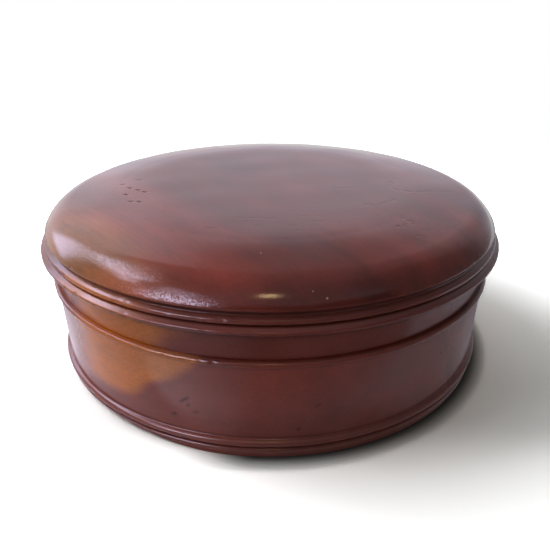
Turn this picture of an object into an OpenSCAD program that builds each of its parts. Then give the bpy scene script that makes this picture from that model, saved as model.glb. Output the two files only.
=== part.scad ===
// Round turned wooden box with a lift-off lid.
// Body and lid are each turned from one solid piece of hardwood. The lid's skirt drops over a
// spigot that stands up inside the body's rim, and the skirt's rim rests on the ledge around it.
// The origin is on the table under the middle of the box, and +Z runs up the turning axis.

/* [Body] */
// Diameter of the wall just under the rim bead
wall_d = 220; // [180:0.5:300]
// How much narrower the wall is just above the foot
wall_taper = 2; // [0:0.1:6]
// Thickness of the wall at the rim, from the hollow to the outside
wall_t = 11.5; // [9.5:0.1:18]
// Height from the table to the ledge that carries the lid
body_h = 47; // [35:0.5:140]
// Thickness of the floor
floor_t = 9; // [5:0.1:16]
// Radius of the corner between the floor and the wall
floor_corner_r = 8; // [2:0.1:16]

/* [Foot] */
// Height of the plain lip that stands on the table
lip_h = 1.6; // [0.8:0.1:5]
// How far the lip stands in from the wall above it
lip_in = 0.1; // [0:0.1:3]
// Height of the lower foot bead
foot_low_h = 3.5; // [2:0.1:8]
// How far the lower foot bead stands out from the wall
foot_low_out = 1.1; // [0.4:0.1:4]
// Height of the upper foot bead
foot_up_h = 3.9; // [2:0.1:8]
// How far the upper foot bead stands out from the wall
foot_up_out = 2; // [0.4:0.1:4]
// Width of the ring that stands on the table
ring_w = 14; // [6:0.5:40]
// Depth of the recess inside that ring
recess_depth = 1.5; // [0.5:0.1:3]

/* [Rim] */
// Height of the bead under the ledge
rim_bead_h = 3; // [1.5:0.1:6]
// How far that bead stands out from the wall
rim_bead_out = 1.5; // [0.4:0.1:4]
// Height of the spigot above the ledge
spigot_h = 7; // [3:0.1:14]
// Thickness of the spigot
spigot_t = 5; // [3:0.1:7]
// Chamfer on the spigot's top edges
spigot_edge = 0.8; // [0.2:0.1:1.4]

/* [Fit] */
// Gap all round between the spigot and the lid's socket
fit_gap = 0.4; // [0.2:0.05:1]
// Gap between the top of the spigot and the lid
head_gap = 0.8; // [0.3:0.1:3]

/* [Lid] */
// How far the skirt stands in from the wall below it
skirt_in = 1; // [0:0.1:2.5]
// Height of the plain skirt, from the ledge to the lower bead
skirt_h = 13.9; // [8:0.1:30]
// Chamfer on the skirt's lower edge, which shows as a dark line
skirt_edge = 0.5; // [0.2:0.1:1.5]
// Height of the lower bead
lid_low_h = 3.8; // [2:0.1:8]
// How far the lower bead stands out from the skirt
lid_low_out = 6; // [3:0.1:12]
// Height of the upper bead
lid_up_h = 3.1; // [2:0.1:8]
// How far the upper bead stands out from the skirt
lid_up_out = 4; // [2.2:0.1:10]
// Height of the groove between the upper bead and the dome
quirk_h = 1.5; // [0.5:0.1:3]
// How far the bottom of that groove stands out from the skirt
quirk_out = 1.6; // [0:0.1:2.1]
// Thickness of the lid in the middle
lid_t = 9; // [5:0.1:14]
// Radius of the corner inside the top of the lid
lid_corner_r = 9; // [2:0.1:14]

/* [Dome] */
// How far the edge of the dome stands out from the skirt
dome_edge_out = 3; // [2.2:0.1:6]
// Height of the plain face at the edge of the dome
dome_edge_h = 0.6; // [0.4:0.1:4]
// Radius of the rounded shoulder
shoulder_r = 17; // [8:0.1:24]
// Lean of the shoulder at the edge of the dome, in degrees from upright
shoulder_lean = 25; // [0:1:40]
// Radius of the crown that runs inward from the shoulder
crown_r = 600; // [250:5:3000]
// Diameter of the flat in the middle of the crown
crown_flat_d = 142; // [20:1:180]

/* [Hidden] */
$fn = 180;
crown_segments = 1440;

// Body, from the table up
wall_r = wall_d / 2;
wall_foot_r = wall_r - wall_taper / 2;
lip_r = wall_foot_r - lip_in;
hollow_r = wall_r - wall_t;
foot_h = lip_h + foot_low_h + foot_up_h;
ledge_z = body_h;
rim_bead_z = ledge_z - rim_bead_h;
spigot_r = hollow_r + spigot_t;
spigot_top = ledge_z + spigot_h;

// Lid, from the ledge up
skirt_r = wall_r - skirt_in;
socket_r = spigot_r + fit_gap;
socket_top = spigot_top + head_gap;
lid_low_z = ledge_z + skirt_h;
lid_up_z = lid_low_z + lid_low_h;
quirk_z = lid_up_z + lid_up_h;
dome_edge_z = quirk_z + quirk_h;
dome_z = dome_edge_z + dome_edge_h;
dome_r = skirt_r + dome_edge_out;

// The shoulder's arc leaves the dome's edge at its lean, and the crown's arc is tangent to it
shoulder_x = dome_r - shoulder_r * cos(shoulder_lean);
shoulder_z = dome_z - shoulder_r * sin(shoulder_lean);
crown_z = shoulder_z - sqrt(pow(crown_r - shoulder_r, 2) - pow(shoulder_x, 2));
crown_meets_r = shoulder_x * crown_r / (crown_r - shoulder_r);
flat_r = min(crown_flat_d / 2, crown_meets_r);
lid_top = crown_z + sqrt(pow(crown_r, 2) - pow(flat_r, 2));
ceiling_z = lid_top - lid_t;

// A turned ring of height h from the axis out to r, between z and z + h
module band(r, z, h) {
    translate([0, z])
        square([r, h]);
}

// A band whose outer edge is a half-round bead with its crest at r
module bead(r, z, h) {
    band(r - h / 2, z, h);
    translate([r - h / 2, z + h / 2])
        circle(d = h);
}

// A hollow of radius r between z and z + h. Its corner is rounded at the top or at the bottom
module hollow(r, z, h, corner_r, round_top) {
    straight_z = round_top ? z : z + corner_r;
    corner_z = round_top ? z + h - corner_r : z + corner_r;
    band(r, straight_z, h - corner_r);
    band(r - corner_r, z, h);
    translate([r - corner_r, corner_z])
        circle(r = corner_r);
}

module body_outline() {
    band(lip_r, 0, lip_h);
    bead(wall_foot_r + foot_low_out, lip_h, foot_low_h);
    bead(wall_foot_r + foot_up_out, lip_h + foot_low_h, foot_up_h);
    polygon([[0, foot_h], [wall_foot_r, foot_h], [wall_r, rim_bead_z], [0, rim_bead_z]]);
    bead(wall_r + rim_bead_out, rim_bead_z, rim_bead_h);
    band(spigot_r, ledge_z, spigot_h - spigot_edge);
    polygon([
        [0, spigot_top - spigot_edge],
        [spigot_r, spigot_top - spigot_edge],
        [spigot_r - spigot_edge, spigot_top],
        [0, spigot_top]
    ]);
}

module body_hollow() {
    hollow(hollow_r, floor_t, spigot_top - floor_t, floor_corner_r, round_top = false);
    polygon([
        [0, spigot_top - spigot_edge],
        [hollow_r, spigot_top - spigot_edge],
        [hollow_r + spigot_edge, spigot_top],
        [0, spigot_top]
    ]);
    band(lip_r - ring_w, 0, recess_depth);
}

module dome_outline() {
    intersection() {
        translate([0, crown_z])
            circle(r = crown_r, $fn = crown_segments);
        band(crown_meets_r, dome_z, lid_top - dome_z);
    }
    intersection() {
        translate([shoulder_x, shoulder_z])
            circle(r = shoulder_r);
        band(dome_r, dome_z, lid_top - dome_z);
    }
}

module lid_outline() {
    polygon([
        [0, ledge_z],
        [skirt_r - skirt_edge, ledge_z],
        [skirt_r, ledge_z + skirt_edge],
        [skirt_r, lid_low_z],
        [0, lid_low_z]
    ]);
    bead(skirt_r + lid_low_out, lid_low_z, lid_low_h);
    bead(skirt_r + lid_up_out, lid_up_z, lid_up_h);
    band(skirt_r + quirk_out, quirk_z, quirk_h);
    band(dome_r, dome_edge_z, dome_edge_h);
    dome_outline();
}

module lid_hollow() {
    band(socket_r, ledge_z, socket_top - ledge_z);
    hollow(hollow_r, ledge_z, ceiling_z - ledge_z, lid_corner_r, round_top = true);
}

module body() {
    color([0.36, 0.16, 0.12])
        rotate_extrude()
            difference() {
                body_outline();
                body_hollow();
            }
}

module lid() {
    color([0.42, 0.20, 0.15])
        rotate_extrude()
            difference() {
                lid_outline();
                lid_hollow();
            }
}

body();
lid();
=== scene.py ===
import math

import bpy
import numpy as np
from mathutils import Matrix, Vector


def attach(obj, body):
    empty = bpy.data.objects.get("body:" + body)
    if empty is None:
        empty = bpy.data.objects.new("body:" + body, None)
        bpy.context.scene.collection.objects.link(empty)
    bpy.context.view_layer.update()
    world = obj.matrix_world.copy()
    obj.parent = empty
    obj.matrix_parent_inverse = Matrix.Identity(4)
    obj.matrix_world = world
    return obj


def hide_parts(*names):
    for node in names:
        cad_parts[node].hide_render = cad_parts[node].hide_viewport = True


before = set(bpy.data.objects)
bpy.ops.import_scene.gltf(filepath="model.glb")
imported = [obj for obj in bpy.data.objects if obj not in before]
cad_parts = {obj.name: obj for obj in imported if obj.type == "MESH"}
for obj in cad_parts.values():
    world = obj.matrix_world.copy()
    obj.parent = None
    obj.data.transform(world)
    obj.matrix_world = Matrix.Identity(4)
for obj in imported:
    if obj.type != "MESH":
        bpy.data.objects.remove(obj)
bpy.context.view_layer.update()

scene = bpy.context.scene
scene.view_settings.view_transform = "Standard"

# The camera is held in the hand, close to the box and a little above it, just right of its middle.
# It has a short lens, looks down on the box and leans a very little.
MM = 0.001
IMAGE_SIDE, LENS_IN_PIXELS = 550, 580
SENSOR_WIDTH = 36
CAMERA_PLACE = Vector((2.40, -290.13, 171.21)) * MM
LOOKING_DOWN, LEANING = 0.4547, -0.0014
camera = bpy.data.objects.new("camera", bpy.data.cameras.new("camera"))
camera.data.sensor_width = SENSOR_WIDTH
camera.data.lens = SENSOR_WIDTH * LENS_IN_PIXELS / IMAGE_SIDE
camera.data.clip_start = 10 * MM
camera.matrix_world = (
    Matrix.Translation(CAMERA_PLACE)
    @ Matrix.Rotation(math.pi / 2 - LOOKING_DOWN, 4, "X")
    @ Matrix.Rotation(LEANING, 4, "Z")
)
scene.collection.objects.link(camera)
scene.camera = camera

# The table is one plain sheet of pale matt paper. Near the box it takes the shadow and a painted contact
# shade, and further off it runs out into the white background.
TABLE_HALF = 60
PAPER_ENDS, WHITE_FROM = 0.30, 0.55
PAPER_TONE, PAPER_SHOWN, PAPER_GRAIN = 0.92, 1.60, 0.015
PAPER_TINT, PAPER_TINT_MIRRORED = (0.96, 1.0, 0.985, 1), (0.94, 0.97, 1.10, 1)
WHITE = (1, 1, 1, 1)
CONTACT_REACH, CONTACT_DEPTH = 0.010, 4.0

# Where each change in the paper's tone starts and ends, in metres, and its levels there. They are painted
# light and shade: the camera sees the paper lit more in front and behind, and the polish mirrors it lighter
# on the right and darker towards the front, behind and further off.
SHOWN_IN_FRONT, SHOWN_BEHIND = (-0.118, -0.088, 1.2, 0.8), (-0.06, 0.02, 0.0, 0.4)
MIRRORED_IN_FRONT, MIRRORED_BEHIND = (-0.12, -0.03, 0.55, 1.45), (-0.03, 0.02, 1.0, 0.6)
MIRRORED_ON_RIGHT, MIRRORED_FURTHER = (0.03, 0.08, 0.0, 1.5), (0.14, 0.165, 1.0, 0.65)
CONTACT_FROM_LEFT = (-0.042, -0.006)


def put(tree, kind, inputs=None, **settings):
    """A shader node with its settings and inputs: a socket is linked, anything else is set."""
    made = tree.nodes.new("ShaderNode" + kind)
    for key, value in settings.items():
        setattr(made, key, value)
    for key, value in (inputs or {}).items():
        if isinstance(value, bpy.types.NodeSocket):
            tree.links.new(value, made.inputs[key])
        else:
            made.inputs[key].default_value = value
    return made


def maths(tree, how, first, second):
    """One step of arithmetic in a material."""
    return put(tree, "Math", {0: first, 1: second}, operation=how).outputs[0]


def ramp(tree, value, low, high, to_low=0.0, to_high=1.0, soft=False):
    """Carries a value from between low and high to between to_low and to_high, and holds it beyond them."""
    ends = "SMOOTHSTEP" if soft else "LINEAR"
    return put(tree, "MapRange", {0: value, 1: low, 2: high, 3: to_low, 4: to_high},
               interpolation_type=ends).outputs[0]


def shift(tree, share, under, over):
    """A number that goes from under to over as share goes from 0 to 1."""
    return put(tree, "Mix", {0: share, 2: under, 3: over}).outputs[0]


def blend(tree, share, under, over, how="MIX"):
    """A colour that goes from under to over as share goes from 0 to 1."""
    return put(tree, "Mix", {0: share, 6: under, 7: over}, data_type="RGBA", blend_type=how).outputs[2]


def seen_directly(tree):
    """1 for rays from the camera, from a mirror-like surface or through a clear one, and 0 for others."""
    path = put(tree, "LightPath").outputs
    shiny = maths(tree, "MAXIMUM", path["Is Camera Ray"], path["Is Glossy Ray"])
    return maths(tree, "MAXIMUM", shiny, path["Is Transmission Ray"])


def bare_material(name):
    """A new material with an empty tree, and its output node."""
    made = bpy.data.materials.new(name)
    made.use_nodes = True
    made.node_tree.nodes.clear()
    return made, made.node_tree, made.node_tree.nodes.new("ShaderNodeOutputMaterial")


def stage_piece(name, corners, faces, material):
    """Something around the box that isn't part of it."""
    mesh = bpy.data.meshes.new(name)
    mesh.from_pydata(corners, [], faces)
    mesh.materials.append(material)
    made = bpy.data.objects.new(name, mesh)
    scene.collection.objects.link(made)
    return made


def flat_sheet(name, x_ends, y_ends, z, material):
    """A level sheet between two places in X and two in Y."""
    (left, right), (front, back) = x_ends, y_ends
    corners = [(left, front, z), (right, front, z), (right, back, z), (left, back, z)]
    return stage_piece(name, corners, [range(4)], material)


paper, tree, out = bare_material("table_paper")
place = put(tree, "TexCoord").outputs["Object"]
across = put(tree, "SeparateXYZ", {0: place}).outputs
from_middle = put(tree, "VectorMath", {0: place}, operation="LENGTH").outputs["Value"]
rays = put(tree, "LightPath").outputs
# Painted light: for the camera the paper's tone is raised in front of and behind the box, and for the polish
# it is shaped into painted light and shade.
shown = maths(tree, "ADD", ramp(tree, across["Y"], *SHOWN_IN_FRONT, soft=True),
              ramp(tree, across["Y"], *SHOWN_BEHIND))
shown = maths(tree, "MULTIPLY", shown, PAPER_SHOWN)
mirrored = maths(tree, "MAXIMUM", ramp(tree, across["Y"], *MIRRORED_IN_FRONT),
                 ramp(tree, across["X"], *MIRRORED_ON_RIGHT))
mirrored = maths(tree, "MULTIPLY", mirrored, ramp(tree, across["Y"], *MIRRORED_BEHIND))
mirrored = maths(tree, "MULTIPLY", mirrored, ramp(tree, from_middle, *MIRRORED_FURTHER))
tone = shift(tree, rays["Is Camera Ray"], PAPER_TONE, shown)
tone = shift(tree, rays["Is Glossy Ray"], tone, mirrored)
fibre = put(tree, "TexNoise", {"Vector": place, "Scale": 900, "Detail": 2}).outputs[0]
tone = maths(tree, "MULTIPLY", tone, ramp(tree, fibre, 0, 1, 1 - PAPER_GRAIN, 1 + PAPER_GRAIN))
# Painted contact shade: for the camera, the paper darkens close to the box, except towards its left.
hugging = put(tree, "AmbientOcclusion", {"Distance": CONTACT_REACH}, samples=8).outputs["AO"]
deep = maths(tree, "POWER", hugging, CONTACT_DEPTH)
contact = maths(tree, "MULTIPLY", ramp(tree, across["X"], *CONTACT_FROM_LEFT, soft=True),
                rays["Is Camera Ray"])
tone = maths(tree, "MULTIPLY", tone, shift(tree, contact, 1.0, deep))
tint = blend(tree, rays["Is Glossy Ray"], PAPER_TINT, PAPER_TINT_MIRRORED)
tinted = put(tree, "VectorMath", {0: tint, "Scale": tone}, operation="SCALE").outputs[0]
matt = put(tree, "BsdfDiffuse", {"Color": tinted}).outputs[0]
white = put(tree, "Emission", {"Color": WHITE, "Strength": 1.0}).outputs[0]
run_out = ramp(tree, from_middle, PAPER_ENDS, WHITE_FROM, soft=True)
run_out = maths(tree, "MULTIPLY", run_out, seen_directly(tree))
mixed = put(tree, "MixShader", {0: run_out, 1: matt, 2: white}).outputs[0]
tree.links.new(mixed, out.inputs["Surface"])
flat_sheet("table", (-TABLE_HALF, TABLE_HALF), (-TABLE_HALF, TABLE_HALF), 0, paper)

# Soft daylight comes through a tall window on the left, a little behind the box. The room is pale
# behind the box and dim in front of it, and a warm bulb hangs over the camera.
TO_BACK_LEFT = (-0.5, 0.87, 0)
FILL_BY_SIDE = (-0.35, 0.65, 0.17, 0.52)
FILL_TINT, BACKDROP_TINT_MIRRORED = (0.97, 0.97, 1.0, 1), (0.94, 0.885, 1.01, 1)
world = bpy.data.worlds.new("daylight")
scene.world = world
world.use_nodes = True
world.node_tree.nodes.clear()
tree = world.node_tree
looking = put(tree, "TexCoord").outputs["Generated"]
backwards = put(tree, "VectorMath", {0: looking, 1: TO_BACK_LEFT}, operation="DOT_PRODUCT").outputs["Value"]
fill = put(tree, "Background", {"Color": FILL_TINT,
                                "Strength": ramp(tree, backwards, *FILL_BY_SIDE, soft=True)}).outputs[0]
tint = blend(tree, put(tree, "LightPath").outputs["Is Camera Ray"], BACKDROP_TINT_MIRRORED, WHITE)
backdrop = put(tree, "Background", {"Color": tint, "Strength": 1.0}).outputs[0]
mixed = put(tree, "MixShader", {0: seen_directly(tree), 1: fill, 2: backdrop}).outputs[0]
tree.links.new(mixed, tree.nodes.new("ShaderNodeOutputWorld").inputs["Surface"])

AIM = Vector((0, 0, 60 * MM))
WINDOW_DISTANCE, BULB_DISTANCE = 3.0, 1.0
DAYLIGHT, BULB_LIGHT = (0.97, 0.95, 1.0), (1.0, 0.70, 0.36)


def direction(around, up):
    """Where something lies, by its angle from +X around the box and its angle above the table."""
    a, e = math.radians(around), math.radians(up)
    return Vector((math.cos(a) * math.cos(e), math.sin(a) * math.cos(e), math.sin(e)))


def pane(name, around, up, wide, tall, brightness, distance=WINDOW_DISTANCE, colour=DAYLIGHT,
         in_polish=False):
    """A bright pane that faces the box, wide and tall in degrees as seen from there."""
    light = bpy.data.lights.new(name, "AREA")
    light.shape = "RECTANGLE"
    light.size = 2 * distance * math.tan(math.radians(wide / 2))
    light.size_y = 2 * distance * math.tan(math.radians(tall / 2))
    light.energy = math.pi * light.size * light.size_y * brightness
    light.color = colour
    lamp = bpy.data.objects.new(name, light)
    towards = direction(around, up)
    lamp.location = AIM + towards * distance
    lamp.rotation_euler = towards.to_track_quat("Z", "Y").to_euler()
    lamp.visible_camera = False
    lamp.visible_glossy = in_polish
    scene.collection.objects.link(lamp)


pane("window_behind_left", around=156, up=44, wide=40, tall=22, brightness=7.0)
pane("window_sill_behind_left", around=153, up=24, wide=17, tall=18, brightness=6.0)
pane("curtain_on_left", around=190, up=34, wide=24, tall=44, brightness=2.1)
pane("bulb", around=-91, up=55, wide=7, tall=5, brightness=14.0, distance=BULB_DISTANCE,
     colour=BULB_LIGHT, in_polish=True)

# The polish mirrors the room and its windows as glowing cards with soft edges that nothing else shows:
# painted reflections, which light nothing.
CARD_DISTANCE, CARD_GAP, CARD_STEP = 1.3, 0.01, 4
OVERHEAD = 90
SKY, ROOM = (0.93, 0.93, 1.24, 1), (0.95, 0.95, 1.07, 1)
cards = []


def paint(mesh, name, values):
    """Keeps one number per point on a mesh, for its material to read."""
    kept = mesh.attributes.new(name, "FLOAT", "POINT")
    kept.data.foreach_set("value", np.asarray(values, np.float32))


def painted(tree, name):
    """Reads the numbers that paint has kept."""
    return put(tree, "Attribute", attribute_name=name).outputs["Fac"]


def show_only_in_polish(made):
    made.visible_camera = False
    made.visible_diffuse = False
    made.visible_shadow = False
    made.visible_transmission = False


def card(name, around, up, brightness, soft, colour=ROOM):
    """Part of the room, between two angles around and two upwards, glowing only in reflections as a painted
    reflection. Its edge fades over soft degrees, but not overhead, and each new card hangs behind those
    before it."""
    glow, tree, out = bare_material(name)
    clear = put(tree, "BsdfTransparent").outputs[0]
    shade = put(tree, "Emission", {"Color": colour, "Strength": brightness}).outputs[0]
    shade = put(tree, "MixShader", {0: painted(tree, "cover"), 1: clear, 2: shade}).outputs[0]
    tree.links.new(shade, out.inputs["Surface"])
    columns = max(1, round((around[1] - around[0]) / CARD_STEP))
    rows = max(1, round((up[1] - up[0]) / CARD_STEP))
    distance = CARD_DISTANCE + CARD_GAP * len(cards)
    corners, faces, covers = [], [], []
    for elevation in np.linspace(*up, rows + 1):
        for azimuth in np.linspace(*around, columns + 1):
            corners.append(AIM + direction(azimuth, elevation) * distance)
            to_edges = [azimuth - around[0], around[1] - azimuth, elevation - up[0]]
            if up[1] < OVERHEAD:
                to_edges.append(up[1] - elevation)
            covers.append(min(1, min(to_edges) / soft))
    for row in range(rows):
        for column in range(columns):
            first = row * (columns + 1) + column
            faces.append((first, first + 1, first + columns + 2, first + columns + 1))
    made = stage_piece(name, corners, faces, glow)
    paint(made.data, "cover", covers)
    show_only_in_polish(made)
    cards.append(made)


card("panes_behind_left", around=(148, 194), up=(34, 50), brightness=7.8, soft=3, colour=SKY)
card("sill_behind_left", around=(141, 164), up=(4, 35), brightness=4.0, soft=5, colour=SKY)
card("window_front_left", around=(209, 242), up=(16, 36), brightness=10.5, soft=3, colour=SKY)
card("window_front_left_top", around=(205, 237), up=(32, 50), brightness=3.2, soft=5, colour=SKY)
card("room_behind_left", around=(104, 150), up=(-8, 46), brightness=1.15, soft=8)
card("room_on_left", around=(160, 250), up=(-12, 66), brightness=0.35, soft=12)
card("room_above_left", around=(128, 246), up=(50, OVERHEAD), brightness=0.30, soft=8)
card("room_front_right", around=(-36, 31), up=(-12, 66), brightness=0.17, soft=12)
card("room_above_right", around=(-124, 84), up=(29, OVERHEAD), brightness=0.30, soft=14)
card("room_above", around=(60, 142), up=(33, OVERHEAD), brightness=0.30, soft=14)
card("room_on_right", around=(10, 74), up=(-14, 50), brightness=0.48, soft=28)
card("room_in_front", around=(-128, 44), up=(-12, 44), brightness=0.05, soft=12)

# A glowing sheet that only the polish sees, a painted reflection of a dim table in front of the box:
# lighter towards the left, darkened by a painted shadow close to the box, and brightest just outside it.
DUSK_LEFT, DUSK_RIGHT, DUSK_FRONT, DUSK_BACK, DUSK_HEIGHT = -0.12, 0.9, -0.9, -0.116, 0.6 * MM
DUSK_TINT = (0.92, 0.95, 1.12, 1)
DUSK_ON_LEFT, DUSK_ON_RIGHT = (-0.12, -0.01, 1.1, 0.12), (0.035, 0.13, 0.0, 0.2)
DUSK_OUT_OF_SHADOW, DUSK_FURTHER = (0.112, 0.130, 0.6, 2.2), (0.138, 0.172, 1.0, 0.2)
dusk, tree, out = bare_material("painted_table_reflection")
place = put(tree, "TexCoord").outputs["Object"]
sideways = put(tree, "SeparateXYZ", {0: place}).outputs["X"]
from_middle = put(tree, "VectorMath", {0: place}, operation="LENGTH").outputs["Value"]
level = maths(tree, "ADD", ramp(tree, sideways, *DUSK_ON_LEFT), ramp(tree, sideways, *DUSK_ON_RIGHT))
level = maths(tree, "MULTIPLY", level, ramp(tree, from_middle, *DUSK_OUT_OF_SHADOW))
level = maths(tree, "MULTIPLY", level, ramp(tree, from_middle, *DUSK_FURTHER))
shade = put(tree, "Emission", {"Color": DUSK_TINT, "Strength": level}).outputs[0]
tree.links.new(shade, out.inputs["Surface"])
show_only_in_polish(flat_sheet("painted_table_reflection", (DUSK_LEFT, DUSK_RIGHT), (DUSK_FRONT, DUSK_BACK),
                               DUSK_HEIGHT, dusk))

# Body of the box. One blank of dark hardwood turned on a face plate, so its grain runs level.
# The outside is beaded, stained and polished, and a spigot inside the rim carries the lid.
# Its sizes are in mm, and CLEAR keeps faces that rest on each other a hair apart.
SEGMENTS, RING_STEP, EDGE_SUPPORT = 840, 1.0, 0.12
RECESS, RING_INSIDE = 1.5, 95.3
LEDGE, SPIGOT_TOP, CLEAR = 47, 54, 0.02
SPIGOT_R, HOLLOW_R, SPIGOT_EDGE = 103.5, 98.5, 0.8
FLOOR, FLOOR_CORNER = 9, 8
WALL_FOOT, WALL_RIM = (109.02, 9.4), (109.98, 43.8)
WALL_R, WALL_R_HEIGHT, WALL_LEAN = 109, 9, 1 / 35
WALL_BOTTOM, WALL_TOP, WALL_FADE, OUTSIDE_FROM = 10, 43, 5, 105
WEAR, WORN_UP_TO, WORN_FROM, WORN_FADE = 2.9, 4.4, 103, 4
KNOCKED_MOST, KNOCKS_SPREAD = -125, 20
WALL_WAVES, BODY_KNOCKS = 0.12, 0.28

# Small marks lie where chance puts them, the same on every run.
chance = np.random.default_rng(3)


def arc(r, z, radius, start, end, steps):
    """Points of a rounded stretch of an outline, between two angles in degrees from level."""
    turns = np.radians(np.linspace(start, end, steps))
    return [(r + radius * math.cos(t), z + radius * math.sin(t)) for t in turns]


def walk(outline):
    """The outline with points added on its straight runs: one close to each end, and others by step."""
    made = [outline[0]]
    for (r0, z0), (r1, z1) in zip(outline, outline[1:]):
        length = math.hypot(r1 - r0, z1 - z0)
        shares = [1.0]
        if length > 5 * EDGE_SUPPORT:
            near = EDGE_SUPPORT / length
            shares = [*np.linspace(near, 1 - near, max(2, math.ceil(length / RING_STEP) + 1)), 1.0]
        made += [(r0 + (r1 - r0) * s, z0 + (z1 - z0) * s) for s in shares]
    return made


def turned(name, outline):
    """A turned solid whose outline starts and ends on the axis."""
    turns = np.linspace(0, 2 * math.pi, SEGMENTS, endpoint=False)
    around = np.stack([np.cos(turns), np.sin(turns)], axis=1)
    rings = np.array(outline[1:-1])
    points = np.empty((len(rings), SEGMENTS, 3))
    points[..., :2] = rings[:, None, :1] * around[None]
    points[..., 2] = rings[:, 1:]
    ends = np.array([(0, 0, outline[0][1]), (0, 0, outline[-1][1])])
    first, last = len(rings) * SEGMENTS, len(rings) * SEGMENTS + 1
    here = np.arange(SEGMENTS)
    then = (here + 1) % SEGMENTS
    faces = []
    for ring in range(len(rings) - 1):
        low, high = ring * SEGMENTS, (ring + 1) * SEGMENTS
        faces += np.stack([low + here, low + then, high + then, high + here], axis=1).tolist()
    faces += np.stack([np.full(SEGMENTS, first), then, here], axis=1).tolist()
    top = (len(rings) - 1) * SEGMENTS
    faces += np.stack([top + here, top + then, np.full(SEGMENTS, last)], axis=1).tolist()
    mesh = bpy.data.meshes.new(name)
    mesh.from_pydata(np.concatenate([points.reshape(-1, 3), ends]) * MM, [], faces)
    mesh.shade_smooth()
    made = bpy.data.objects.new(name, mesh)
    scene.collection.objects.link(made)
    return made


def rows_of(items, key):
    """One vector of each of a mesh's items, as the rows of an array."""
    found = np.empty(len(items) * 3)
    items.foreach_get(key, found)
    return found.reshape(-1, 3)


def put_back(mesh, points):
    """Gives a mesh its changed points, in mm."""
    mesh.vertices.foreach_set("co", (points * MM).ravel())
    mesh.update()


def angle_around(points):
    return np.degrees(np.arctan2(points[:, 1], points[:, 0]))


def within(values, first, last, fade_in, fade_out):
    """1 well inside two limits and 0 outside them, fading over a stretch inside each limit."""
    return np.clip((values - first) / fade_in, 0, 1) * np.clip((last - values) / fade_out, 0, 1)


def near_outline(points, places):
    """How close each point lies to any of the turned lines (radius, height, reach), from 0 to 1."""
    r, z = np.hypot(points[:, 0], points[:, 1]), points[:, 2]
    close = np.zeros(len(points))
    for line_r, line_z, reach in places:
        close = np.maximum(close, np.exp(-((r - line_r) ** 2 + (z - line_z) ** 2) / reach ** 2))
    return close


def uneven(points, outward, where, height):
    """Sinks the broad, shallow waves of a hand-finished surface, as far as where says, from 0 to 1."""
    count, shortest, longest = 7, 14, 40
    waves = np.zeros(len(points))
    for _ in range(count):
        turn = chance.normal(0, 1, 3)
        turn *= 2 * math.pi / chance.uniform(shortest, longest) / np.linalg.norm(turn)
        waves += np.sin(points @ turn + chance.uniform(0, 6.3)) / count
    points -= outward * (where * height * (1 + waves))[:, None]


def press_in(points, outward, start, end, width, depth):
    """Sinks a dent along a line from start to end, and gives how strongly each point feels it."""
    start, end = np.array(start), np.array(end)
    run = end - start
    reach = np.linalg.norm(run) / 2 + 3 * width
    close = np.flatnonzero(np.linalg.norm(points - (start + end) / 2, axis=1) < reach)
    offset = points[close] - start
    share = np.clip(offset @ run / max(run @ run, 1e-6), 0, 1)
    gap = np.linalg.norm(offset - share[:, None] * run, axis=1)
    felt = np.zeros(len(points))
    felt[close] = np.exp(-(gap / width) ** 2)
    points -= outward * (felt * depth)[:, None]
    return felt


def mark(points, outward, dark, start, end, width, depth, darkness):
    """Sinks a dent and darkens it."""
    felt = press_in(points, outward, start, end, width, depth)
    np.maximum(dark, darkness * felt, out=dark)


def knock_edge(points, outward, radius, height, count, deepest):
    """Small random knocks along a turned edge, half of them where the box is worn most, front left."""
    for _ in range(count):
        where_worn = chance.random() < 0.5
        turn = chance.normal(KNOCKED_MOST, KNOCKS_SPREAD) if where_worn else chance.uniform(-180, 180)
        longer = chance.uniform(0.2, 1.4)
        z = height + chance.normal(0, 0.35)
        ends = [(radius * math.cos(a), radius * math.sin(a), z)
                for a in (math.radians(turn), math.radians(turn) + longer / radius)]
        press_in(points, outward, *ends, chance.uniform(0.5, 0.9), chance.uniform(0.3, 1.0) * deepest)


body_outline = walk([
    # The recess under the foot, and the ring that stands on the table
    (0, RECESS), (RING_INSIDE - 1, RECESS), *arc(RING_INSIDE - 1, RECESS - 0.4, 0.4, 90, 0, 4)[1:],
    (RING_INSIDE - 0.4, 0.4), (RING_INSIDE, 0), (109.2, 0),
    # The thin lip and the two foot beads
    (109.5, 0.1), (109.62, 0.35), (109.6, 1.25), (109.45, 1.5),
    *arc(108.85, 3.1, 1.33, -58, 66, 13), (108.8, 4.7), (108.85, 5.2),
    *arc(109.25, 7.2, 1.73, -72, 74, 15), (109.2, 9.1),
    # The plain wall, the rim bead and the ledge
    WALL_FOOT, WALL_RIM, (109.8, 44.05), *arc(110.0, 45.5, 1.48, -84, 82, 14), (109.4, LEDGE - CLEAR),
    (SPIGOT_R + 0.3, LEDGE - CLEAR), (SPIGOT_R, LEDGE + 0.2),
    # The spigot
    (SPIGOT_R, SPIGOT_TOP - SPIGOT_EDGE), (SPIGOT_R - SPIGOT_EDGE, SPIGOT_TOP - CLEAR),
    (HOLLOW_R + SPIGOT_EDGE, SPIGOT_TOP - CLEAR), (HOLLOW_R, SPIGOT_TOP - SPIGOT_EDGE),
    # The hollow and the floor
    (HOLLOW_R, FLOOR + FLOOR_CORNER + 0.2),
    *arc(HOLLOW_R - FLOOR_CORNER, FLOOR + FLOOR_CORNER, FLOOR_CORNER, 0, -90, 10), (0, FLOOR),
])
body_piece = turned("body_piece", body_outline)
body_points = rows_of(body_piece.data.vertices, "co") / MM
outward = rows_of(body_piece.data.vertex_normals, "vector")

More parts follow.
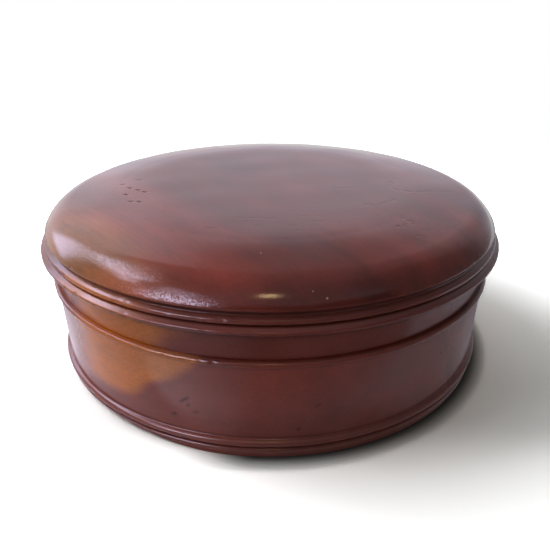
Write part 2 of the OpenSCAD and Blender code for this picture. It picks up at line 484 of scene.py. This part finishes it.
# The lip of the foot is worn away along the front left, and the wall is a little uneven.
outside = np.hypot(body_points[:, 0], body_points[:, 1])
worn = within(angle_around(body_points), -166, -104, fade_in=14, fade_out=26)
worn *= np.clip((outside - WORN_FROM) / WORN_FADE, 0, 1)
body_points[:, 2] += WEAR * worn * np.clip(1 - body_points[:, 2] / WORN_UP_TO, 0, 1)
plain_wall = within(body_points[:, 2], WALL_BOTTOM, WALL_TOP, fade_in=WALL_FADE, fade_out=WALL_FADE)
uneven(body_points, outward, plain_wall * (outside > OUTSIDE_FROM), WALL_WAVES)

# The grain runs level, towards the right of the front, and the pale sapwood lay on the outer edge
# of the plank, so it shows where that edge, which leans, meets the turned outside.
GRAIN = Vector((0.637, -0.771, 0))
EDGE_WANDERS, LOW_END_WANDERS = 7, 3
PORE_COLOUR, PORE_SHARE = (0.02, 0.006, 0.004, 1), 0.35
# Paler bead tops, for wear and for painted light.
WORN_AND_LIT_COLOUR, WORN_AND_LIT_SHARE = (0.20, 0.09, 0.07, 1), 0.3
# Dirt and painted shade: the dark of grooves, seams, undersides and marks.
DIRT_AND_SHADE_COLOUR, DIRT_AND_SHADE_SHARE = (0.045, 0.0085, 0.0075, 1), 0.9
# Pale specks painted as small glints.
GLINT_FLECK_COLOUR = (0.42, 0.33, 0.27, 1)
CLEAN_GLOSS, DIRT_AND_SHADE_GLOSS = 0.5, 0.06
RIPPLE_RELIEF, FIBRE_RELIEF, PORE_RELIEF, CRAZED_RELIEF = 0.3, 0.12, 0.12, 1.3
RELIEF_HEIGHT = 0.06 * MM


def figure(tree, plank, along, over, detail, roughness=0.5):
    """Streaks in the wood, by how many there are in a mm along and over the grain."""
    stretched = put(tree, "VectorMath", {0: plank, 1: (along, over, over)}, operation="MULTIPLY").outputs[0]
    return put(tree, "TexNoise", {"Vector": stretched, "Scale": 1.0, "Detail": detail,
                                  "Roughness": roughness}).outputs[0]


def spots(tree, place, places, core):
    """1 on each round spot (x, y, z, radius), fading from a share of its radius outwards."""
    for *middle, radius in places:
        gap = put(tree, "VectorMath", {0: place, 1: middle}, operation="DISTANCE").outputs["Value"]
        yield ramp(tree, gap, core * radius, radius, 1.0, 0.0, soft=True)


def polished_wood(name, colours, plank_edge, reddening, sap_from, sap_blur, sap_ends, mottle, roughness,
                  sap_low=(-2, -1), holes=(), glint_flecks=()):
    """Stained and polished hardwood. Its colours are dark heart, red heart and sapwood. Towards the plank's
    edge, the heart reddens between two distances in mm and the sapwood starts sap_from mm out, and it fades
    in between sap_ends along the grain and between the heights sap_low. mottle is the spread of its patches,
    roughness has two ends, and holes, painted dark, and pale specks painted as small glints are (x, y, z,
    radius)."""
    made, tree, out = bare_material(name)
    place = put(tree, "TexCoord").outputs["Object"]
    place = put(tree, "VectorMath", {0: place, "Scale": 1 / MM}, operation="SCALE").outputs[0]
    to_edge = Vector(plank_edge).normalized()
    along, outwards, over = [
        put(tree, "VectorMath", {0: place, 1: axis}, operation="DOT_PRODUCT").outputs["Value"]
        for axis in (GRAIN, to_edge, GRAIN.cross(to_edge))]
    plank = put(tree, "CombineXYZ", {0: along, 1: outwards, 2: over}).outputs[0]
    fibres = figure(tree, plank, along=0.03, over=1.1, detail=3, roughness=0.6)
    pore = ramp(tree, figure(tree, plank, along=0.22, over=3.2, detail=1), 0.66, 0.74, soft=True)

    # Heart and sapwood
    dark_heart, red_heart, sapwood = colours
    bands = figure(tree, plank, along=0.006, over=0.055, detail=3)
    redder = maths(tree, "ADD", ramp(tree, outwards, *reddening, 0.0, 0.75, soft=True),
                   ramp(tree, bands, 0.35, 0.68, 0.0, 0.25, soft=True))
    wood = blend(tree, maths(tree, "ADD", redder, painted(tree, "warm")), dark_heart, red_heart)
    wander = figure(tree, plank, along=0.012, over=0.03, detail=2)
    edge = maths(tree, "ADD", outwards, ramp(tree, wander, 0.2, 0.8, -EDGE_WANDERS, EDGE_WANDERS))
    height = put(tree, "SeparateXYZ", {0: place}).outputs["Z"]
    height = maths(tree, "ADD", height, ramp(tree, wander, 0.2, 0.8, -LOW_END_WANDERS, LOW_END_WANDERS))
    sap = maths(tree, "MULTIPLY", ramp(tree, edge, sap_from - sap_blur, sap_from + sap_blur, soft=True),
                ramp(tree, along, *sap_ends, 0.1, 1.0, soft=True))
    sap = maths(tree, "MULTIPLY", sap, ramp(tree, height, *sap_low, soft=True))
    wood = blend(tree, maths(tree, "MULTIPLY", sap, ramp(tree, fibres, 0.3, 0.7, 0.84, 1.0)), wood, sapwood)

    # Streaks and patches in the stain, most of them in its red
    patches = figure(tree, plank, along=0.016, over=0.042, detail=4, roughness=0.6)
    streak = ramp(tree, fibres, 0.25, 0.75, 0.9, 1.1)
    red, others = [maths(tree, "MULTIPLY", streak, ramp(tree, patches, 0.3, 0.7, 1 - spread, 1 + spread))
                   for spread in (mottle, 0.6 * mottle)]
    stain = put(tree, "CombineColor", {0: red, 1: others, 2: others}).outputs[0]
    wood = blend(tree, 1.0, wood, stain, "MULTIPLY")

    # Pores, paler bead tops for wear and painted light, dirt and painted shade, and pale specks painted as
    # small glints
    wood = blend(tree, maths(tree, "MULTIPLY", pore, PORE_SHARE), wood, PORE_COLOUR)
    wood = blend(tree, maths(tree, "MULTIPLY", painted(tree, "rubbed_and_lit"), WORN_AND_LIT_SHARE), wood, WORN_AND_LIT_COLOUR)
    dirt_and_shade = painted(tree, "dirt_and_shade")
    for hole in spots(tree, place, holes, 0.6):
        dirt_and_shade = maths(tree, "MAXIMUM", dirt_and_shade, hole)
    wood = blend(tree, maths(tree, "MULTIPLY", dirt_and_shade, DIRT_AND_SHADE_SHARE), wood, DIRT_AND_SHADE_COLOUR)
    for glint_fleck in spots(tree, place, glint_flecks, 0.5):
        wood = blend(tree, glint_fleck, wood, GLINT_FLECK_COLOUR)

    # The polish is smeared, a little rippled, sunk into the pores and finely crazed where it is painted so.
    smear = put(tree, "TexNoise", {"Vector": place, "Scale": 0.06, "Detail": 4}).outputs[0]
    ripple = put(tree, "TexNoise", {"Vector": place, "Scale": 0.85, "Detail": 1.5}).outputs[0]
    crazing = put(tree, "TexNoise", {"Vector": place, "Scale": 1.6, "Detail": 2.0}).outputs[0]
    crazed = painted(tree, "crazed")
    specks = maths(tree, "MULTIPLY", ramp(tree, crazing, 0.5, 0.58, 0.0, 0.5, soft=True), crazed)
    rough = maths(tree, "ADD", ramp(tree, smear, 0.3, 0.7, *roughness), specks)
    relief = maths(tree, "ADD", maths(tree, "MULTIPLY", ripple, RIPPLE_RELIEF),
                   maths(tree, "MULTIPLY", fibres, FIBRE_RELIEF))
    relief = maths(tree, "SUBTRACT", relief, maths(tree, "MULTIPLY", pore, PORE_RELIEF))
    cracks = maths(tree, "MULTIPLY", crazing, crazed)
    relief = maths(tree, "ADD", relief, maths(tree, "MULTIPLY", cracks, CRAZED_RELIEF))
    bump = put(tree, "Bump", {"Height": relief, "Distance": RELIEF_HEIGHT, "Strength": 1.0}).outputs[0]
    # Gloss drops where dirt and painted shade lie, so the shaded grooves and undersides mirror less.
    gloss = ramp(tree, dirt_and_shade, 0.5, 0.85, CLEAN_GLOSS, DIRT_AND_SHADE_GLOSS, soft=True)
    shader = put(tree, "BsdfPrincipled", {"Base Color": wood, "Roughness": rough, "IOR": 1.5,
                                          "Specular IOR Level": gloss, "Normal": bump}).outputs[0]
    tree.links.new(shader, out.inputs["Surface"])
    return made


def on_wall(turn, z):
    """A point of the plain wall, by its angle around the box and its height."""
    r = WALL_R + (z - WALL_R_HEIGHT) * WALL_LEAN
    return r * math.cos(math.radians(turn)), r * math.sin(math.radians(turn)), z


# Dirt and painted shade darken the grooves, the seam and the corner at the spigot, and thinner painted shade
# darkens the lower half of the rim bead and the wall just over the foot. These turned lines are (radius,
# height, reach), and edges that were knocked are (radius, height, count).
BODY_GROOVE_DIRT_AND_SHADE = (108.8, 4.95, 0.4), (109.0, 46.98, 0.2), (103.6, 47.0, 0.8)
BODY_PAINTED_SHADE_LINES, THIN_SHADE = ((111.2, 44.6, 1.0), (109.2, 9.6, 0.4)), 0.55
# The tops of the foot beads and of the rim bead are painted paler, for wear and for painted light.
BODY_WORN_AND_LIT = (110.5, 8.3, 0.8), (110.0, 3.0, 1.4), (110.3, 46.8, 0.9)
BODY_EDGES = (109.9, 2.4, 40), (110.8, 6.5, 55), (111.3, 45.9, 45)

# Dents on the wall are (first end, last end, width, depth), with each end an angle and a height.
DENT_DARKNESS = 0.9
DENTS = (
    ((-111, 16), (-110.6, 16.3), 0.9, 0.15),
    ((-109, 23.5), (-107.3, 26), 0.7, 0.12),
    ((-107.5, 22), (-107, 22.6), 0.6, 0.10),
    ((-106, 19.3), (-105.2, 19.8), 0.6, 0.08),
    ((-80, 24.6), (-79.6, 25), 0.6, 0.10),
    ((-84, 13.2), (-83.6, 13.6), 0.6, 0.10),
)
WORM_HOLE_R, WORM_HOLE_WIDTH, WORM_HOLE_DEPTH = 0.75, 0.7, 0.5
body_dirt_and_shade = np.maximum(near_outline(body_points, BODY_GROOVE_DIRT_AND_SHADE),
                       THIN_SHADE * near_outline(body_points, BODY_PAINTED_SHADE_LINES))
for first, last, width, depth in DENTS:
    mark(body_points, outward, body_dirt_and_shade, on_wall(*first), on_wall(*last), width, depth, DENT_DARKNESS)
worm_hole = on_wall(-47.7, 31.7)
press_in(body_points, outward, worm_hole, worm_hole, WORM_HOLE_WIDTH, WORM_HOLE_DEPTH)
for radius, height, count in BODY_EDGES:
    knock_edge(body_points, outward, radius, height, count, BODY_KNOCKS)
put_back(body_piece.data, body_points)
paint(body_piece.data, "dirt_and_shade", body_dirt_and_shade)
paint(body_piece.data, "rubbed_and_lit", near_outline(body_points, BODY_WORN_AND_LIT))
BODY_WOOD = (0.150, 0.030, 0.020, 1), (0.196, 0.038, 0.024, 1), (0.47, 0.132, 0.015, 1)
body_piece.data.materials.append(polished_wood(
    "body_polish", BODY_WOOD, plank_edge=(-0.771, -0.637, 0.675), reddening=(45, 85), sap_from=98.3,
    sap_blur=3.0, sap_ends=(-8, 16), mottle=0.22, roughness=(0.16, 0.25), sap_low=(15, 23),
    holes=[(*worm_hole, WORM_HOLE_R)]))
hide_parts("body")
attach(body_piece, "body")

# Lid. A second blank of the same plank, turned hollow, with a domed top, two beads over a plain
# skirt, and a socket inside the skirt that drops over the body's spigot.
FIT_GAP, HEAD_GAP = 0.4, 0.8
SOCKET_R, SOCKET_TOP = SPIGOT_R + FIT_GAP, SPIGOT_TOP + HEAD_GAP
SKIRT_R = 109
CEILING, LID_CORNER = 74.56, 9
SHOULDER_CENTRE, SHOULDER_R = (96.59, 62.72), 17
CROWN_CENTRE, CROWN_R = -512.22, 600
FLAT_HEIGHT, CREASE, CREASE_ENDS, CREASE_FADE = 83.54, 1.1, 97, 20
LID_WAVES, WAVES_FROM, WAVES_FADE, FACING_UP = 0.14, 70.5, 4, 0.1
LID_KNOCKS, CRAZED_ROUGHNESS = 0.3, 0.015
BEADS_FROM, DOME_FROM = 59.6, 69.25


def crown_height(r):
    """Height of the dome at a radius: a flat middle that breaks softly into a shallow crown."""
    crown = CROWN_CENTRE + math.sqrt(CROWN_R ** 2 - r ** 2)
    fall = FLAT_HEIGHT - crown
    softness = CREASE * min(1, max(0, (CREASE_ENDS - r) / CREASE_FADE))
    return FLAT_HEIGHT - (fall + math.hypot(fall, softness)) / 2


def on_crown(x, y):
    """A point of the lid's top, seen from above."""
    return x, y, crown_height(math.hypot(x, y))


lid_outline = walk([
    # The ceiling, the hollow and the socket
    (0, CEILING), *arc(HOLLOW_R - LID_CORNER, CEILING - LID_CORNER, LID_CORNER, 90, 0, 10),
    (HOLLOW_R, SOCKET_TOP), (SOCKET_R, SOCKET_TOP), (SOCKET_R, LEDGE + 0.4),
    # The rim that rests on the ledge, and the plain skirt
    (SOCKET_R + 0.4, LEDGE + CLEAR), (SKIRT_R - 0.3, LEDGE + CLEAR), (SKIRT_R, LEDGE + 0.3),
    (SKIRT_R - 0.02, 59.4), (109.4, 59.8),
    # The wide lower bead, flat underneath
    (113.2, 60.0), (113.7, 60.2), (113.95, 60.5), *arc(113.8, 61.8, 1.17, -70, 40, 13),
    # The upper bead, between two sharp grooves
    (111.9, 63.92), *arc(110.77, 64.95, 2.2, -6, 34, 11), (110.7, 67.2), (110.6, 69.1),
    # The edge of the dome and its shoulder
    (111.6, 69.25), (111.75, 69.35), *arc(*SHOULDER_CENTRE, SHOULDER_R, 25.2, 80.4, 40),
])
crown_rings = [*np.linspace(98.2, 46, 100), *np.linspace(44, 2, 22)]
lid_outline += [(r, crown_height(r)) for r in crown_rings] + [(0, crown_height(0))]
lid_piece = turned("lid_piece", lid_outline)
lid_points = rows_of(lid_piece.data.vertices, "co") / MM
outward = rows_of(lid_piece.data.vertex_normals, "vector")
on_top = np.clip((lid_points[:, 2] - WAVES_FROM) / WAVES_FADE, 0, 1) * (outward[:, 2] > FACING_UP)
uneven(lid_points, outward, on_top, LID_WAVES)

# Dirt and painted shade darken the grooves, the seam and the lower bead's underside, painted shade darkens
# the skirt just under that bead, and the front of the shoulder, turned from the light, is painted darker.
LID_GROOVE_DIRT_AND_SHADE = ((114.4, 60.9, 0.9), (109.1, 58.6, 2.0), (111.9, 63.95, 0.5), (110.65, 68.0, 0.85),
               (108.9, 47.0, 0.15))
# The tops of the two lid beads are painted paler, for wear and for painted light.
LID_WORN_AND_LIT = (112.9, 63.4, 0.8), (111.2, 67.0, 0.8)
LID_EDGES = (114.8, 61.5, 70), (113.7, 60.2, 70), (112.9, 65.6, 45), (111.9, 69.6, 30)
SHADED_SHOULDER, SHOULDER_SHADE = (110, 73, 8), 0.45
around = angle_around(lid_points)
in_front = within(around, -116, -56, fade_in=20, fade_out=16)
lid_dirt_and_shade = np.maximum(near_outline(lid_points, LID_GROOVE_DIRT_AND_SHADE),
                      SHOULDER_SHADE * in_front * near_outline(lid_points, [SHADED_SHOULDER]))

# Pits in pairs on the left, long pores in the middle, fine pores all over, and scuffs on the right
# that are strings of short rubs.
PITS = (-76, -3), (-70, -10), (-65, -14), (-68, 4), (-70, -20), (-66, -30), (-61, -32), (-62, -17)
PORES = (-13, -54), (-6, -54), (0, -55), (-5, -63), (-24, -65), (10, -63), (15, -52), (23, -52), (21, -58)
SCUFFS = (
    ((64, 4), (60, -10)),
    ((60, -10), (62, -14), (68, -17)),
    ((70, -17), (79, -14), (92, -10)),
    ((34, -12), (40, -12)),
    ((44, -35), (46, -39), (53, -35), (58, -29)),
    ((58, -50), (61, -57), (54, -61)),
)
PIT_SIDE, PIT_AHEAD, PIT_DEPTH = 0.7, -0.4, 0.24
PORE_WIDTH, PORE_DEPTH, PORE_DARKNESS = 0.4, 0.07, 0.8
FINE_PORES, FINE_PORE_WIDTH, FINE_PORE_DEPTH = 60, 0.35, 0.04
RUB_SPACING, RUB_STRAY = 2.6, 0.5


def mark_crown(x, y, side, ahead, width, depth, darkness):
    """A dark dent on the lid's top, from one side of a point to the other."""
    mark(lid_points, outward, lid_dirt_and_shade, on_crown(x - side, y - ahead), on_crown(x + side, y + ahead),
         width, depth, darkness)


for x, y in PITS:
    for _ in range(2):
        right, back = chance.normal(0, 0.6, 2)
        mark_crown(x + right, y + back, PIT_SIDE, PIT_AHEAD, chance.uniform(0.4, 0.65), PIT_DEPTH,
                   chance.uniform(0.7, 1.0))
for x, y in PORES:
    mark_crown(x, y, chance.uniform(1, 3), 0, PORE_WIDTH, PORE_DEPTH, PORE_DARKNESS)
for _ in range(FINE_PORES):
    x, y = chance.uniform(-80, 80), chance.uniform(-80, 60)
    mark_crown(x, y, chance.uniform(0.5, 2.5), 0, FINE_PORE_WIDTH, FINE_PORE_DEPTH, chance.uniform(0.2, 0.6))
for scuff in SCUFFS:
    for first, last in zip(scuff, scuff[1:]):
        for along in np.arange(0, 1, RUB_SPACING / math.dist(first, last)):
            x, y = np.array(first) * (1 - along) + np.array(last) * along + chance.normal(0, RUB_STRAY, 2)
            turn, longer = chance.uniform(0, math.pi), chance.uniform(0.3, 1.1)
            mark_crown(x, y, longer * math.cos(turn), longer * math.sin(turn), chance.uniform(0.4, 0.7),
                       chance.uniform(0.04, 0.13), chance.uniform(0.25, 0.75))
for radius, height, count in LID_EDGES:
    knock_edge(lid_points, outward, radius, height, count, LID_KNOCKS)

# The polish is crazed in two bands, on the left of the shoulder and lower down left of the front. The
# wood is warmer on the right of the shoulder, and the tops of the beads are painted paler, for wear and for
# the light that falls on them.
UPPER_CRAZING, LOWER_CRAZING = (106.2, 76.7, 2.6), (110.9, 71.9, 2.2)
WARM_SHOULDER, WARMTH = (103, 78, 9), 0.3
on_left = within(around, -143, -110, fade_in=8, fade_out=6)
left_of_front = within(around, -122, -97, fade_in=5, fade_out=7)
on_right = within(around, -80, -12, fade_in=18, fade_out=18)
crazed = np.maximum(on_left * near_outline(lid_points, [UPPER_CRAZING]),
                    left_of_front * near_outline(lid_points, [LOWER_CRAZING]))
lid_points += outward * (crazed * chance.normal(0, CRAZED_ROUGHNESS, len(lid_points)))[:, None]
warm = WARMTH * on_right * near_outline(lid_points, [WARM_SHOULDER])
put_back(lid_piece.data, lid_points)
paint(lid_piece.data, "crazed", crazed)
paint(lid_piece.data, "warm", warm)
paint(lid_piece.data, "dirt_and_shade", lid_dirt_and_shade)
paint(lid_piece.data, "rubbed_and_lit", near_outline(lid_points, LID_WORN_AND_LIT))
LID_WOOD = (0.095, 0.0170, 0.0110, 1), (0.240, 0.041, 0.025, 1), (0.34, 0.110, 0.036, 1)
SKIRT_WOOD = (0.115, 0.023, 0.016, 1), (0.165, 0.033, 0.022, 1), (0.46, 0.130, 0.020, 1)
PLANK_EDGE = (-0.771, -0.637, 0.567)
# Three pale specks on the lid's front are painted into its colour as small glints.
lid_piece.data.materials.append(polished_wood(
    "lid_polish", LID_WOOD, PLANK_EDGE, reddening=(60, 135), sap_from=122, sap_blur=10, sap_ends=(-60, -20),
    mottle=0.34, roughness=(0.10, 0.16),
    glint_flecks=[(-3, -87, 81.5, 0.5), (16, -107, 75.3, 0.45), (21, -108, 72.9, 0.45)]))
for name, sap_from, sap_blur in (("bead_polish", 121, 8), ("skirt_polish", 107.5, 5)):
    lid_piece.data.materials.append(polished_wood(
        name, SKIRT_WOOD, PLANK_EDGE, reddening=(45, 85), sap_from=sap_from, sap_blur=sap_blur,
        sap_ends=(-8, 16), mottle=0.14, roughness=(0.16, 0.25)))
heights = rows_of(lid_piece.data.polygons, "center")[:, 2] / MM
lid_piece.data.polygons.foreach_set("material_index",
                                    (heights < DOME_FROM).astype(np.int32) + (heights < BEADS_FROM))
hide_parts("lid")
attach(lid_piece, "lid")
